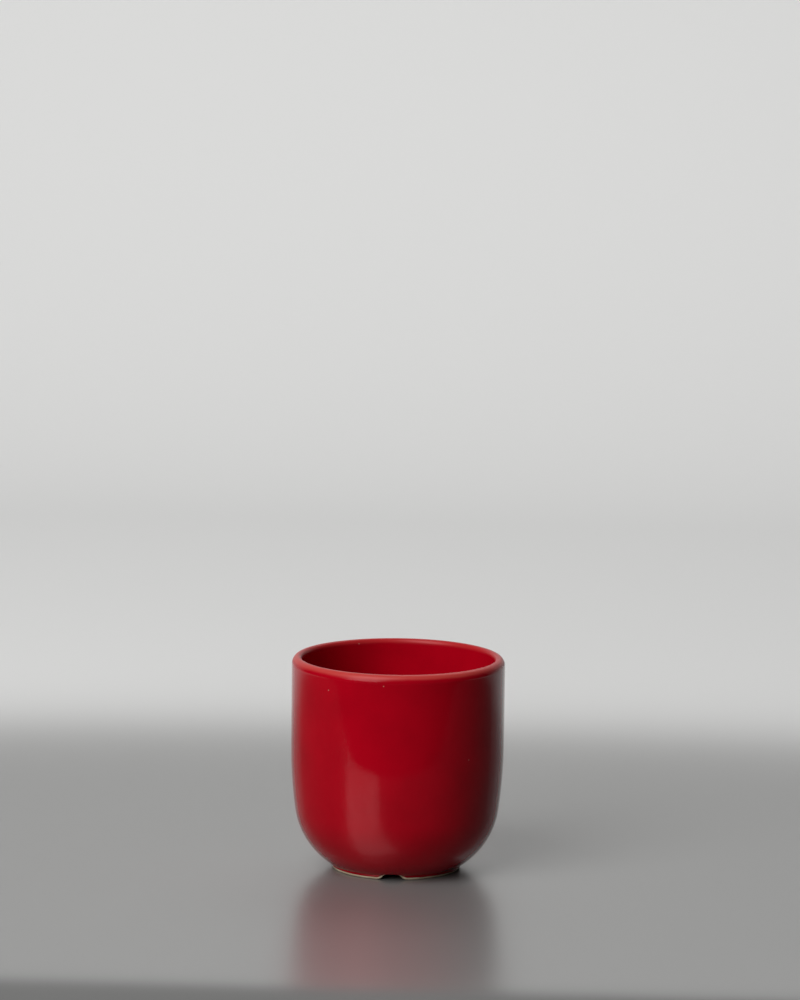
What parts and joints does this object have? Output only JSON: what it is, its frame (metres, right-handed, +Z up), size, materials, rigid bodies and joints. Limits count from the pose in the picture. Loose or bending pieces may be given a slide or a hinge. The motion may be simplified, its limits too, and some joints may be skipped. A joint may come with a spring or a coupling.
{
  "type": "cappuccino cup",
  "caption": "Handle-less glossy red stoneware cup with straight wall, round belly, soft lip and a bare notched foot ring; holds a hot milky coffee.",
  "frame": {"origin": "centre of the foot ring, on the surface the cup stands on", "axes": "+Z up along the cup's axis of revolution; -Y towards the drain notch at the front"},
  "size_m": [0.08, 0.08, 0.0805],
  "materials": {
    "bare_clay": "matt unglazed stoneware, cream with fine dark specks",
    "red_glaze": "glossy red glaze, a little lighter where it thins over the lip"
  },
  "bodies": {
    "root": {"clay_body": "bare_clay", "outer_glaze": "red_glaze", "liner_glaze": "red_glaze", "base_glaze": "red_glaze"}
  },
  "joints": []
}
